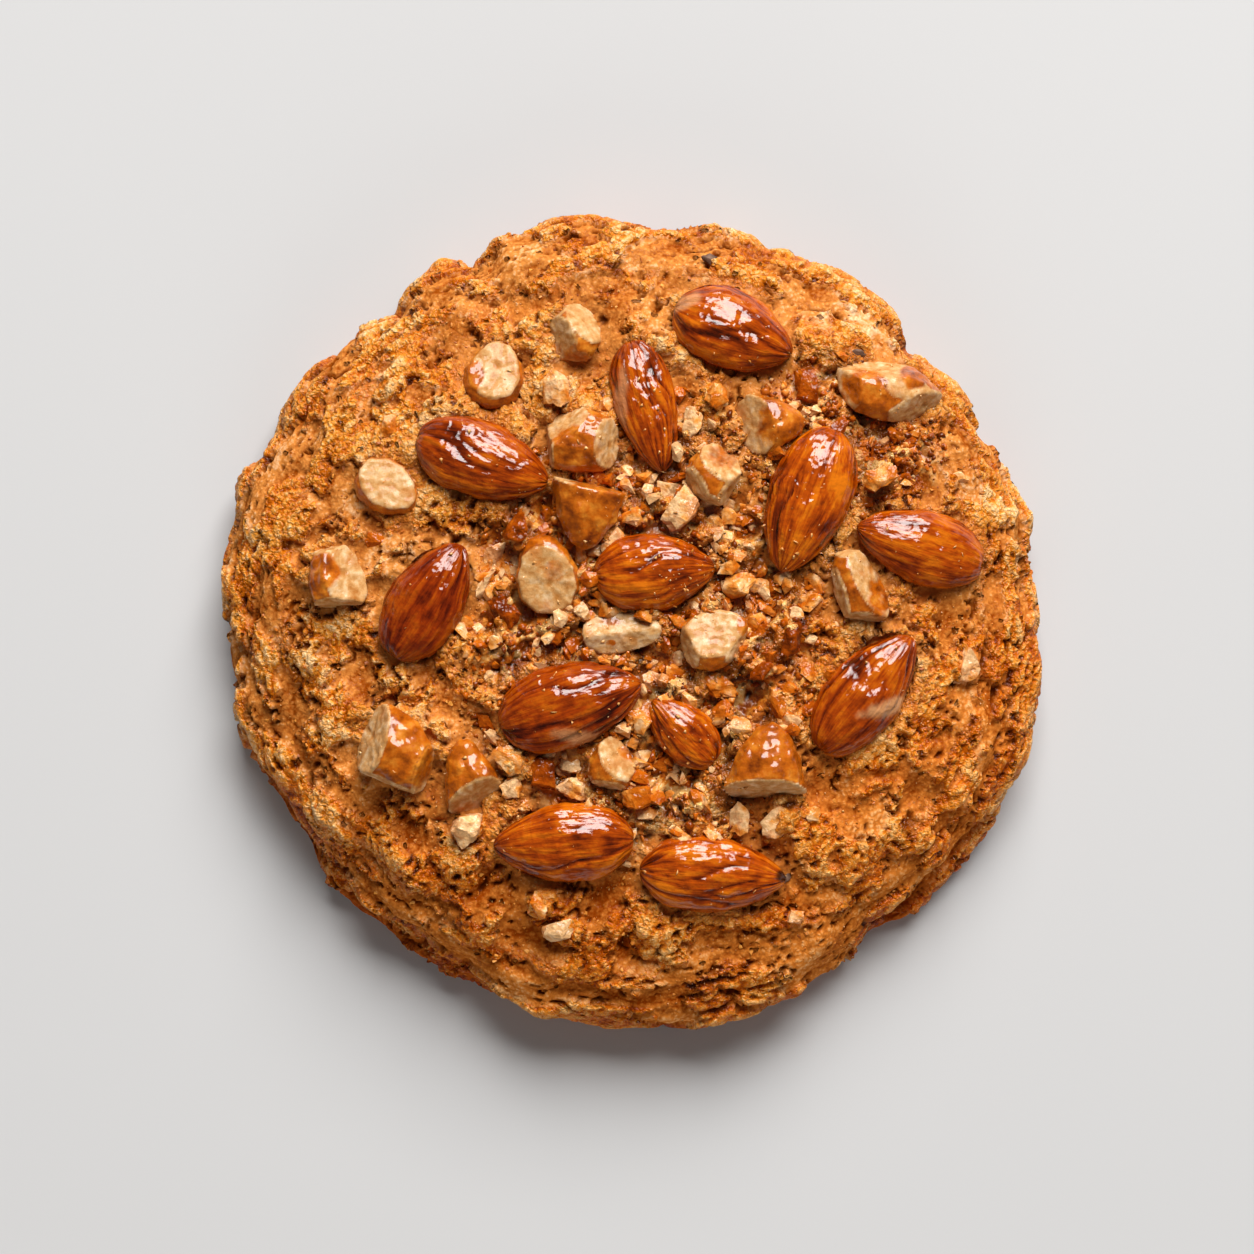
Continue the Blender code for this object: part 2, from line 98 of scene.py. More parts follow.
# The crust's relief. Waves and rises are in mm, and a pair is where a share starts and is full.
WANDER_WAVE = 3.0
WANDER = 0.9
LUMP_WAVE = 6.5
LUMP_RISE = 0.66
PATCH_WAVE = 7.0
PATCH = (-0.07, 0.07)
PATCH_RISE = 0.86
CRUMPLE_WAVE = 1.7
CRUMPLE = (0.0, 0.28)
CRUMPLE_RISE = 0.10
PATCH_CRUMPLE_RISE = 0.34
CRACK_WAVE = 5.0
CRACK = (0.012, 0.045)
CRACKED_WAVE = 4.0
CRACKED = (0.14, 0.30)
CREVICE_BESIDE_PATCH = 0.06
CREVICE = (0.02, 0.06)
CREVICED_WAVE = 3.2
CREVICED = (0.0, 0.2)
CREVICE_DEPTH = 0.8
HOLLOW_WAVE = 1.2
HOLLOW = (0.38, 0.48)
RIDDLED_WAVE = 8.0
RIDDLED = (-0.1, 0.15)
PIT_DEPTH = 0.9
GRIT_WAVE = 0.8
GRIT_RISE = 0.10
CRUST_SINK = 0.42
CRUST_SEED = 7

# The praline's own relief: grains of this size at two heights, heaps and gaps.
GRANULE_SIZE = 1.9
GRANULE = (0.0, 0.5)
GRANULE_RISE = 0.35
GRANULE_LIFT = 0.5
HEAP_WAVE = 2.6
HEAPED = (-0.22, 0.16)
HEAP_RISE = 0.9
PRALINE_SINK = 0.90
# How dark the gaps between the heaps are painted, as shade.
GAP_PIT = 0.55


def linear(red, green, blue):
    """A colour given as it looks on a screen, 0 to 255, in the shader's own linear numbers."""
    shares = (red / 255.0, green / 255.0, blue / 255.0)
    straight = [s / 12.92 if s <= 0.04045 else ((s + 0.055) / 1.055) ** 2.4 for s in shares]
    return (*straight, 1.0)


def smooth_step(low, height_shading, value):
    share = min(1.0, max(0.0, (value - low) / (height_shading - low)))
    return share * share * (3.0 - 2.0 * share)


def start_from_node(node, name):
    """A merged copy of a solid, as the start of a finished piece, alone selected and active."""
    bpy.ops.object.select_all(action="DESELECT")
    piece = bpy.data.objects.new(name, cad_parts[node].data.copy())
    bpy.context.scene.collection.objects.link(piece)
    piece.data.materials.clear()
    piece.select_set(True)
    bpy.context.view_layer.objects.active = piece
    bpy.ops.object.mode_set(mode="EDIT")
    bpy.ops.mesh.select_all(action="SELECT")
    bpy.ops.mesh.remove_doubles(threshold=SAME_CORNER)
    bpy.ops.object.mode_set(mode="OBJECT")
    return piece


def tree_of(nodes):
    """The solids' surfaces in one search tree."""
    corners = []
    faces = []
    for node in nodes:
        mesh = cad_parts[node].data
        start = len(corners)
        corners += [vertex.co.copy() for vertex in mesh.vertices]
        faces += [[start + index for index in polygon.vertices] for polygon in mesh.polygons]
    return BVHTree.FromPolygons(corners, faces)


def remeshed(piece, spacing, smoothing):
    """Gives a piece an even skin of this spacing and rounds its facets away."""
    skin = piece.modifiers.new("even skin", "REMESH")
    skin.mode = "VOXEL"
    skin.voxel_size = spacing
    bpy.ops.object.modifier_apply(modifier=skin.name)
    if smoothing:
        bpy.ops.object.mode_set(mode="EDIT")
        bpy.ops.mesh.select_all(action="SELECT")
        bpy.ops.mesh.vertices_smooth(factor=0.5, repeat=smoothing)
        bpy.ops.object.mode_set(mode="OBJECT")


def store(piece, name, values):
    layer = piece.data.attributes.new(name, "FLOAT", "POINT")
    layer.data.foreach_set("value", np.asarray(values, np.float32))


def store_vectors(piece, name, vectors):
    layer = piece.data.attributes.new(name, "FLOAT_VECTOR", "POINT")
    layer.data.foreach_set("vector", np.asarray(vectors, np.float32).ravel())


def shade_smooth(piece):
    piece.data.polygons.foreach_set("use_smooth", [True] * len(piece.data.polygons))
    piece.data.update()


def within_box(places):
    """Holds a piece's corners inside the solids' box."""
    return np.clip(np.asarray(places, np.float32), np.array(cad_box[0]), np.array(cad_box[1]))


nuts = tree_of(NUT_NODES)
dough = start_from_node("cookie", "baked_dough")

# The hollows under the nuts rise to the middle of each nut, where nothing of them shows.
for vertex in dough.data.vertices:
    if nuts.find_nearest(vertex.co)[3] > HOLLOW_GAP:
        continue
    top = nuts.ray_cast(Vector((vertex.co.x, vertex.co.y, SKY)), DOWN)[0]
    bottom = nuts.ray_cast(Vector((vertex.co.x, vertex.co.y, 0.0)), UP)[0]
    if top is not None and bottom is not None:
        vertex.co.z = max(vertex.co.z, (top.z + bottom.z) / 2 - NUT_RISE)
remeshed(dough, SKIN_SPACING, FACET_SMOOTHING)

# The flat base needs few faces, so its middle becomes one.
base = bmesh.new()
base.from_mesh(dough.data)
for vertex in base.verts:
    if vertex.co.z < BASE_LEVEL:
        vertex.co.z = 0.0
underside = [face for face in base.faces if max(vertex.co.z for vertex in face.verts) < ON_BASE]
bmesh.ops.delete(base, geom=underside, context="FACES")
bmesh.ops.holes_fill(base, edges=[edge for edge in base.edges if edge.is_boundary], sides=0)
base.to_mesh(dough.data)
base.free()


def praline_share(place):
    """How much of the praline topping, from 0 to 1, lies at a place in mm."""
    away = min(
        math.hypot((place.x - middle[0]) / reach[0], (place.y - middle[1]) / reach[1])
        for middle, reach in ((PRALINE_MIDDLE, PRALINE_REACH), (SPILL_MIDDLE, SPILL_REACH))
    )
    ragged = noise.fractal(place / RAGGED_WAVE, 0.9, 2.0, 3) * RAGGED
    return 1.0 - smooth_step(*PRALINE_EDGE, away + ragged)


def round_the_rim(place):
    """A place in mm told by its way round the cookie, drawn together, and its way over the edge."""
    out = math.hypot(place.x, place.y)
    return Vector((place.x / out * RIM_STRETCH, place.y / out * RIM_STRETCH, out - place.z))


def wave(place, length, shift=(0.0, 0.0, 0.0)):
    """Smooth noise of this wavelength at a place, from about -1 to 1."""
    return noise.noise(place / length + Vector(shift))


def wandered(place):
    """A place in mm moved about a little, so that what is drawn there turns ragged."""
    return place + noise.noise_vector(place / WANDER_WAVE) * WANDER


def crags(place):
    """(lumps in mm, crumple, golden patch, pit) at a place in mm, the last three from 0 to 1."""
    warped = wandered(place)
    lumps = noise.fractal(place / LUMP_WAVE, 0.9, 2.1, 3) * LUMP_RISE
    patchy = noise.fractal(warped / PATCH_WAVE + Vector((7.0, 3.0, 1.0)), 0.8, 2.1, 4)
    patch = smooth_step(*PATCH, patchy)
    crumple = smooth_step(*CRUMPLE, abs(wave(warped, CRUMPLE_WAVE, (2.0, 6.0, 1.0))))
    crack = 1.0 - smooth_step(*CRACK, abs(wave(warped, CRACK_WAVE, (11.0, 4.0, 2.0))))
    crack *= smooth_step(*CRACKED, wave(place, CRACKED_WAVE, (3.0, 8.0, 5.0)))
    crevice = 1.0 - smooth_step(*CREVICE, abs(patchy + CREVICE_BESIDE_PATCH))
    crevice *= smooth_step(*CREVICED, wave(place, CREVICED_WAVE))
    hollow = smooth_step(*HOLLOW, wave(warped, HOLLOW_WAVE, (0.0, 5.0, 9.0)))
    hollow *= smooth_step(*RIDDLED, wave(place, RIDDLED_WAVE, (9.0, 1.0, 4.0)))
    return np.array((lumps, crumple, patch, max(crack, hollow, CREVICE_DEPTH * crevice)))


def heap_at(place):
    """Where the praline lies heaped, 1, and where it leaves a gap, 0."""
    return smooth_step(*HEAPED, wave(place, HEAP_WAVE, (1.0, 9.0, 3.0)))


def crust(place, praline, rim):
    """(rise in mm, pit, golden patch, crumple, grain tone) of the crust at a place in mm."""
    if rim < 1.0:
        form = crags(place)
    if rim > 0.0:
        edge_form = crags(round_the_rim(place))
        form = edge_form if rim >= 1.0 else form + (edge_form - form) * rim
    lumps, crumple, patch, pit = form
    cells, middles = noise.voronoi(wandered(place) / GRANULE_SIZE)
    granule = smooth_step(*GRANULE, cells[1] - cells[0])
    lift = noise.cell(middles[0] * 9.7)
    heap = heap_at(place)
    rise = lumps + PATCH_RISE * patch + crumple * (CRUMPLE_RISE + PATCH_CRUMPLE_RISE * patch)
    rise = rise + wave(place, GRIT_WAVE) * GRIT_RISE - CRUST_SINK - PIT_DEPTH * pit
    grains = granule * (GRANULE_RISE + GRANULE_LIFT * lift)
    rise += praline * (grains + HEAP_RISE * heap - PRALINE_SINK)
    # The gaps between the heaps get no depth from this, only the dark of painted shade.
    pit = max(pit, praline * GAP_PIT * (1.0 - heap) ** 2)
    return rise, pit, patch, crumple, 0.5 + 0.5 * lift


def corner_numbers(vectors, name):
    """One vector for each corner, as rows of numbers."""
    numbers = np.empty(len(vectors) * 3, np.float32)
    vectors.foreach_get(name, numbers)
    return numbers.reshape(-1, 3)


noise.seed_set(CRUST_SEED)
places = corner_numbers(dough.data.vertices, "co")
normals = corner_numbers(dough.data.vertex_normals, "vector")
LOOKS = ("rise", "pit", "patch", "crumple", "grain", "bed", "praline", "side_shade", "foot")
looks = {name: np.zeros(len(places), np.float32) for name in LOOKS}
for index, normal in enumerate(normals):
    place = Vector(places[index])
    praline = praline_share(place / MM)
    rim = smooth_step(*RIM, math.hypot(place.x, place.y) / MM)
    rise, pit, patch, crumple, grain = crust(place / MM, praline, rim)
    fade = smooth_step(0.0, BASE_FADE, place.z / MM)
    place += Vector(normal) * (rise * fade * MM)
    near, outward, _, gap = nuts.find_nearest(place, NUT_SEARCH)
    bed = 0.0
    if near is not None:
        inside = (place - near).dot(outward) < 0.0
        if inside:
            place.z -= SUNK_UNDER
        elif gap < GRIP_REACH:
            place = near - outward * GRIP_DEPTH
        bed = 1.0 if inside else 1.0 - smooth_step(*BED, gap / MM)
    foot = 1.0 - smooth_step(*FOOT, place.z / MM)
    # Painted shade: darker towards the front, the side that faces away from the key light.
    side_shade = smooth_step(*SIDE_SHADE_SPAN, (place.x * SHADED_SIDE[0] + place.y * SHADED_SIDE[1]) / MM)
    here = (rise, pit * fade, patch, crumple, grain, bed, praline, side_shade, foot)
    for name, value in zip(LOOKS, here):
        looks[name][index] = value
    places[index] = place
dough.data.vertices.foreach_set("co", within_box(places).ravel())
dough.data.update()
for name, values in looks.items():
    store(dough, name, values)
shade_smooth(dough)


class Shading:
    """Lays out one finish's nodes and joins them up by name."""

    def __init__(self, name):
        self.finish = bpy.data.materials.new(name)
        self.finish.use_nodes = True
        self.nodes = self.finish.node_tree.nodes

    def join(self, source, target):
        """Joins a node's output to an input, or sets the input to a plain value."""
        if isinstance(source, bpy.types.NodeSocket):
            self.finish.node_tree.links.new(source, target)
        else:
            target.default_value = source

    def node(self, kind, inputs, **settings):
        """A new node of this kind, with its settings made and its inputs set or joined."""
        made = self.nodes.new("ShaderNode" + kind)
        for name, setting in settings.items():
            setattr(made, name, setting)
        for name, source in inputs.items():
            self.join(source, made.inputs[name])
        return made

    def value(self, attribute, kind="Fac"):
        return self.node("Attribute", {}, attribute_name=attribute).outputs[kind]

    def stretched(self, vector, stretch):
        return self.node("Mapping", {"Scale": stretch, "Vector": vector}).outputs["Vector"]

    def place(self):
        return self.node("TexCoord", {}).outputs["Object"]

    def cloud(self, scale, detail=3.0, roughness=0.55, vector=None):
        inputs = {"Scale": scale, "Detail": detail, "Roughness": roughness}
        inputs["Vector"] = vector if vector else self.place()
        return self.node("TexNoise", inputs).outputs["Fac"]

    def ramp(self, source, *stops):
        made = self.node("ValToRGB", {"Fac": source})
        elements = made.color_ramp.elements
        while len(elements) < len(stops):
            elements.new(0.5)
        for element, (position, colour) in zip(elements, stops):
            element.position = position
            element.color = colour
        return made.outputs["Color"]

    def spread(self, source, low, height_shading, to_low=0.0, to_high=1.0):
        ends = {"From Min": low, "From Max": height_shading, "To Min": to_low, "To Max": to_high}
        return self.node("MapRange", {"Value": source, **ends}).outputs["Result"]

    def mix(self, share, first, second, blend="MIX"):
        inputs = {0: share, 6: first, 7: second}
        return self.node("Mix", inputs, data_type="RGBA", blend_type=blend).outputs[2]

    def maths(self, operation, first, second=0.0):
        return self.node("Math", {0: first, 1: second}, operation=operation).outputs[0]

    def add(self, first, second):
        return self.maths("ADD", first, second)

    def less(self, first, second):
        return self.maths("SUBTRACT", first, second)

    def times(self, first, second):
        return self.maths("MULTIPLY", first, second)

    def larger(self, first, second):
        return self.maths("MAXIMUM", first, second)

    def warped(self, scale, far):
        """The place moved about by a cloud, so that what is drawn there turns ragged."""
        place = self.place()
        cloud = self.node("TexNoise", {"Scale": scale, "Vector": place})
        away = {0: cloud.outputs["Color"], 1: (far, far, far), 2: place}
        return self.node("VectorMath", away, operation="MULTIPLY_ADD").outputs["Vector"]

    def pores(self, scale):
        """Small ragged holes, in some of the cells of a grid of this many per metre."""
        cells = self.node("TexVoronoi", {"Scale": scale, "Vector": self.warped(700.0, 0.0016)})
        chosen = self.node("SeparateColor", {"Color": cells.outputs["Color"]}).outputs["Red"]
        hole = self.spread(cells.outputs["Distance"], 0.11, 0.18, 1.0, 0.0)
        return self.times(hole, self.maths("GREATER_THAN", chosen, 0.42))

    def caramel_runs(self):
        """Where melted caramel spread, over crust and crumbs alike."""
        return self.spread(self.cloud(230.0, 4.0, 0.6, self.warped(300.0, 0.003)), 0.50, 0.60)

    def bump(self, height, strength, depth):
        inputs = {"Strength": strength, "Distance": depth, "Height": height}
        return self.node("Bump", inputs).outputs["Normal"]

    def end(self, colour, roughness, **others):
        """The finished material. The surface's other inputs go by their names with underscores."""
        surface = self.nodes["Principled BSDF"].inputs
        self.join(colour, surface["Base Color"])
        self.join(roughness, surface["Roughness"])
        for name, source in others.items():
            self.join(source, surface[name.replace("_", " ")])
        return self.finish


def crust_finish():
    """Curled and golden on its patches, tan between, with painted shade in its cracks, creases and
    pores and painted glints on its curls, nutty in the middle.
    """
    shade = Shading("crust finish")
    fine = shade.cloud(1500.0, 4.0, 0.6)
    crumpled = shade.warped(800.0, 0.0012)
    curls = shade.node("TexVoronoi", {"Scale": 1450.0, "Vector": crumpled}).outputs["Distance"]
    patch = shade.add(shade.value("patch"), shade.spread(fine, 0.35, 0.65, -0.2, 0.2))
    patch = shade.spread(patch, 0.3, 0.7)
    # The colour follows the height: low places, creases and the edges of the curled cells are
    # painted darker as shade, and the tips paler, partly as painted highlight.
    height_shading = shade.add(shade.value("rise"), shade.spread(fine, 0.3, 0.7, -0.28, 0.28))
    height_shading = shade.add(height_shading, shade.spread(curls, 0.1, 0.6, 0.26, -0.30))
    height_shading = shade.add(height_shading, shade.spread(shade.value("crumple"), 0.0, 1.0, -0.26, 0.12))
    golden = shade.ramp(
        shade.spread(height_shading, -0.5, 1.6),
        (0.0, linear(138, 54, 1)),
        (0.32, linear(200, 104, 10)),
        (0.58, linear(226, 146, 48)),
        (0.98, linear(252, 214, 158)),
    )
    tan = shade.ramp(
        shade.spread(height_shading, -1.2, 0.8),
        (0.0, linear(144, 66, 8)),
        (0.48, linear(210, 134, 62)),
        (1.0, linear(252, 214, 170)),
    )
    colour = shade.mix(patch, tan, golden)

    # Painted glints: pale curled lines on the high parts, standing in for sugary highlights.
    painted_glint = shade.maths("ABSOLUTE", shade.less(shade.cloud(620.0, 1.0, 0.5, crumpled), 0.5))
    painted_glint = shade.spread(painted_glint, 0.0, 0.036, 1.0, 0.0)
    painted_glint = shade.times(painted_glint, shade.spread(height_shading, 0.1, 0.9, 0.0, 0.55))
    painted_glint = shade.times(painted_glint, shade.spread(patch, 0.0, 1.0, 0.3, 1.0))
    colour = shade.mix(painted_glint, colour, linear(252, 216, 160))

    # Browner in clouds, and darker with painted shade on the front side, which faces away from the
    # key light.
    toast_and_side_shade = shade.spread(shade.cloud(150.0, 3.0), 0.50, 0.66, 0.0, 0.6)
    toast_and_side_shade = shade.larger(toast_and_side_shade, shade.value("side_shade"))
    colour = shade.mix(toast_and_side_shade, colour, linear(255, 236, 200), "MULTIPLY")

    # Ground nut and caramel in the middle, crumb beside the nuts, and the darker foot.
    nutty = shade.ramp(
        shade.add(shade.value("grain"), shade.spread(fine, 0.3, 0.7, -0.3, 0.3)),
        (0.10, linear(136, 54, 2)),
        (0.35, linear(190, 98, 18)),
        (0.60, linear(218, 136, 44)),
        (0.85, linear(242, 192, 116)),
    )
    nutty = shade.mix(shade.times(shade.caramel_runs(), 0.7), nutty, linear(184, 86, 10))
    colour = shade.mix(shade.times(shade.value("praline"), 0.85), colour, nutty)
    colour = shade.mix(shade.times(shade.value("bed"), 0.40), colour, linear(200, 130, 62))
    colour = shade.mix(shade.value("foot"), colour, linear(214, 172, 124), "MULTIPLY")

    # Painted shade in the cracks, pores and gaps, fine relief, and a thin sugary gloss.
    pore = shade.pores(330.0)
    pit_shade = shade.larger(shade.times(shade.value("pit"), 0.9), shade.times(pore, 0.7))
    colour = shade.mix(pit_shade, colour, linear(66, 22, 1))
    height = shade.less(shade.times(fine, 0.5), shade.times(curls, 0.5))
    height = shade.times(height, shade.spread(patch, 0.0, 1.0, 0.28, 1.0))
    height = shade.add(height, shade.less(shade.times(painted_glint, 0.3), pore))
    normal = shade.bump(height, 1.0, 0.0008)
    wet = shade.larger(shade.spread(patch, 0.0, 1.0, 0.05, 0.5), shade.value("praline"))
    return shade.end(
        colour, 0.7, Normal=normal, Coat_Normal=normal, Specular_IOR_Level=0.0,
        Coat_Weight=wet, Coat_Roughness=0.08, Coat_IOR=1.5,
    )


dough.data.materials.append(crust_finish())
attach(dough, "root")
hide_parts("cookie")


# The whole almonds. Kernels with their brown furrowed skins, tossed in caramel until glossy and
# pressed into the dough before baking. Each is shaped along its own solid's axes.
ALMONDS = [name for name in NUT_NODES if name.startswith("almond")]
AROUND = 96
ALONG = 64
TAPER = 0.16
TIP_TAPER = 0.13
FURROW_WANDER = 0.45
MAIN_FURROWS = 1.5
MAIN_WIDTH = 0.20
FAINTEST = 0.35
FINE_FURROWS = 3.4
FINE_WIDTH = 0.30
FINE_DEPTH = 0.42
FURROW_DEPTH = 0.46
BROAD_SWELL = (5.0, 0.30)
SMALL_SWELL = (2.1, 0.22)
SKIN_SINK = 0.05
# How dark each almond's skin is, from 0, light amber, to 1, nearly black-brown.
ALMOND_TONES = {
    "almond_01": 0.25, "almond_02": 0.25, "almond_03": 0.40, "almond_04": 0.10,
    "almond_05": 0.25, "almond_06": 0.75, "almond_07": 0.15, "almond_08": 0.55,
    "almond_09": 0.40, "almond_10": 0.20, "almond_11": 0.10, "almond_12": 0.20,
}

# Where skins are rubbed pale or scorched: x, y, half width, half depth (mm), direction, and how
# pale, above 0, or how dark, below 0.
SKIN_MARKS = (
    (39.5, -12.8, 6.0, 1.3, 15, 0.8), (-7.0, -17.7, 6.0, 1.2, -10, 0.6),
    (7.9, 48.5, 3.0, 1.2, 20, 0.6), (-1.9, 30.9, 8.0, 1.2, 85, 0.5),
    (22.9, -38.7, 1.3, 1.1, 0, -0.9),
)
MARK_EDGE = (0.6, 1.1)
MARK_WAVE = 1.5
MARK_RAGGED = 0.3


def mark_at(place):
    """How pale or scorched a skin is at a place, from 1 to -1."""
    total = 0.0
    ragged = wave(Vector(place) / MM, MARK_WAVE) * MARK_RAGGED
    for x, y, wide, deep, direction, strength in SKIN_MARKS:
        away = Vector((place[0] / MM - x, place[1] / MM - y))
        away = Matrix.Rotation(math.radians(-direction), 2) @ away
        out = math.hypot(away.x / wide, away.y / deep)
        total += strength * (1.0 - smooth_step(*MARK_EDGE, out + ragged))
    return total


def kernel_axes(node):
    """The kernel's middle, its length, width and thickness axes, and its half sizes along them."""
    corners = np.array([vertex.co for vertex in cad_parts[node].data.vertices])
    middle = corners.mean(axis=0)
    _, axes = np.linalg.eigh(np.cov((corners - middle).T))
    length, width = axes[:, 2], axes[:, 1]
    reach = (corners - middle) @ length
    if reach.max() < -reach.min():
        length = -length
    thickness = np.cross(length, width)
    if thickness[2] < 0.0:
        width = -width
        thickness = -thickness
    axes = np.array([length, width, thickness])
    along = (corners - middle) @ axes.T
    middle = middle + ((along.max(axis=0) + along.min(axis=0)) / 2) @ axes
    return middle, axes, (along.max(axis=0) - along.min(axis=0)) / 2


def furrows(around, along, seed):
    """Depth from 0 to 1 of the furrows that wander along the skin and meet at the tip."""
    wander = FURROW_WANDER * noise.noise(Vector((along * 1.3, around * 0.8, seed)))
    circle = Vector((math.cos(around + wander), math.sin(around + wander), 0.0))
    wavering = circle * 1.5 + Vector((seed, seed * 0.7, along * 0.45))
    main = abs(noise.noise(wavering * MAIN_FURROWS))
    fine = abs(noise.noise(wavering * FINE_FURROWS + Vector((5.0, 1.0, 0.0))))
    shown = smooth_step(-0.2, 0.3, noise.noise(wavering * 0.9 + Vector((0.0, 7.0, 0.0))))
    deep = (1.0 - smooth_step(0.0, MAIN_WIDTH, main)) * (FAINTEST + (1.0 - FAINTEST) * shown)
    return max(deep, FINE_DEPTH - FINE_DEPTH * smooth_step(0.0, FINE_WIDTH, fine))


def face_outwards(mesh):
    """Makes every face of a closed mesh look outwards."""
    bmesh.ops.recalc_face_normals(mesh, faces=mesh.faces[:])
    if mesh.calc_volume(signed=True) < 0.0:
        bmesh.ops.reverse_faces(mesh, faces=mesh.faces[:])


def whole_almond(node, seed):
    """A furrowed kernel on its solid's own axes."""
    middle, axes, half = kernel_axes(node)
    bpy.ops.object.select_all(action="DESELECT")
    bpy.ops.mesh.primitive_uv_sphere_add(segments=AROUND, ring_count=ALONG, radius=1.0)
    almond = bpy.context.object
    almond.name = node + "_glazed"
    places = []
    depths = []
    grain = []
    for vertex in almond.data.vertices:
        across, deep, along = vertex.co
        around = math.atan2(deep, across)
        taper = 1.0 - TAPER * along - TIP_TAPER * max(0.0, along) ** 2
        sides = (along * half[0], across * half[1] * taper, deep * half[2] * (1.0 + taper) / 2)
        local = np.array(sides)
        depth = furrows(around, along, seed)
        swell = wave(Vector(local / MM), BROAD_SWELL[0], (seed, 0.0, 0.0)) * BROAD_SWELL[1]
        swell += wave(Vector(local / MM), SMALL_SWELL[0], (0.0, seed, 0.0)) * SMALL_SWELL[1]
        outward = local / max(1e-9, float(np.linalg.norm(local)))
        local = local + outward * (swell - SKIN_SINK - FURROW_DEPTH * depth) * MM
        places.append(middle + local @ axes)
        depths.append(depth)
        grain.append((math.cos(around) + seed, math.sin(around), along))
    almond.data.vertices.foreach_set("co", within_box(places).ravel())
    store(almond, "furrow", depths)
    store(almond, "tone", [ALMOND_TONES[node]] * len(depths))
    store(almond, "mark", [mark_at(place) for place in places])
    store_vectors(almond, "grain", grain)
    mesh = bmesh.new()
    mesh.from_mesh(almond.data)
    face_outwards(mesh)
    mesh.to_mesh(almond.data)
    mesh.free()
    shade_smooth(almond)
    return almond


def glazed_skin():
    """Amber caramel over furrowed skin: bright on the ridges, dark in the furrows, partly as
    painted shade, wet-looking.
    """
    shade = Shading("glazed almond skin")
    grain = shade.value("grain", "Vector")
    streaks = shade.cloud(4.0, 4.0, 0.6, shade.stretched(grain, (1.0, 1.0, 0.34)))
    hairs = shade.cloud(17.0, 3.0, 0.55, shade.stretched(grain, (1.0, 1.0, 0.12)))
    # The furrows' depth darkens the skin as painted shade; the streaks, hairs and mottling below
    # are the skin's own colour.
    shown = shade.times(shade.value("furrow"), 0.58)
    shown = shade.add(shown, shade.spread(streaks, 0.35, 0.68, -0.08, 0.56))
    shown = shade.add(shown, shade.spread(hairs, 0.35, 0.65, -0.09, 0.09))
    shown = shade.add(shown, shade.spread(shade.cloud(260.0, 3.0, 0.6), 0.35, 0.65, -0.18, 0.20))
    skin = shade.ramp(
        shown,
        (0.0, linear(212, 112, 12)),
        (0.35, linear(176, 73, 3)),
        (0.70, linear(120, 40, 1)),
        (1.0, linear(58, 15, 0)),
    )
    skin = shade.mix(shade.value("tone"), skin, linear(176, 120, 96), "MULTIPLY")
    skin = shade.mix(shade.spread(shade.value("mark"), 0.0, 1.0), skin, linear(206, 150, 100))
    skin = shade.mix(shade.spread(shade.value("mark"), 0.0, -1.0), skin, linear(34, 12, 2))
    height = shade.add(shade.times(hairs, 0.4), shade.cloud(700.0, 3.0, 0.55))
    glaze = shade.add(shade.cloud(560.0, 1.0), shade.times(streaks, 0.5))
    return shade.end(
        skin, 0.5, Normal=shade.bump(height, 0.7, 0.0005), Specular_IOR_Level=0.0,
        Coat_Normal=shade.bump(glaze, 0.6, 0.0006),
        Coat_Weight=1.0, Coat_Roughness=0.04, Coat_IOR=1.55,
    )


almond_finish = glazed_skin()
for number, node in enumerate(ALMONDS):
    almond = whole_almond(node, 3.7 * number)
    almond.data.materials.append(almond_finish)
    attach(almond, "root")
    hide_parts(node)


# The chopped almonds. Kernels cut with a knife, so each has flat cream faces that browned at the
# edges in the oven, between curved stretches of amber skin. They keep their solids' cuts.
CHOPPED = [name for name in NUT_NODES if name.startswith("chopped")]
CHOPPED_SPACING = 0.30 * MM
CUT_CORNERS = 6
CUT_REACH = 0.22 * MM
FLAT_WITHIN = math.radians(1.5)
ROUGH_WAVE = 2.4
ROUGH_RISE = 0.24
SMOOTHER_ON_CUT = 0.10
CHIPPED_WAVE = 0.9
CHIPPED_RISE = 0.11
SPOKE_RISE = 0.10
SPOKES_START = (0.4, 2.0)
DIMPLE = (0.2, 0.9)
DIMPLE_DEPTH = 0.14
# Where caramel ran over the pieces: x, y, half width, half depth (mm), and how strongly it coats.
CARAMEL_RUNS = (
    (-9.1, 27.0, 3.4, 2.9, 1.0), (-6.3, 16.1, 7.0, 7.0, 1.0), (-7.9, 40.7, 3.0, 1.4, 0.6),
    (-23.9, 37.2, 1.8, 3.4, 0.9), (-11.9, 7.6, 2.2, 2.2, 0.5), (-12.2, 12.2, 3.5, 1.0, 1.0),
    (-3.2, 0.1, 2.2, 1.0, 0.7), (-3.2, -3.2, 0.9, 0.6, 0.8), (17.1, -0.5, 1.5, 2.2, 0.8),
    (12.2, -2.8, 1.0, 1.0, 0.4), (22.8, 29.7, 4.0, 4.5, 1.0), (14.0, 25.0, 3.0, 2.2, 0.6),
    (35.4, 35.6, 4.0, 3.2, 1.0), (43.1, 37.4, 2.6, 2.2, 1.0), (37.6, 4.0, 2.2, 4.0, 0.8),
    (-46.3, 7.5, 2.6, 3.2, 1.0), (-33.1, -20.5, 3.8, 5.2, 1.0), (-0.2, -19.7, 2.0, 2.0, 0.8),
)
COAT_EDGE = (0.55, 1.15)
COAT_WAVE = 1.7
COAT_RAGGED = 0.25


def caramel_at(place):
    """How strongly caramel coats a place in mm, from 0 to 1."""
    ragged = wave(place, COAT_WAVE) * COAT_RAGGED
    coats = []
    for x, y, wide, deep, strength in CARAMEL_RUNS:
        out = math.hypot((place.x - x) / wide, (place.y - y) / deep)
        coats.append(strength * (1.0 - smooth_step(*COAT_EDGE, out + ragged)))
    return max(coats)


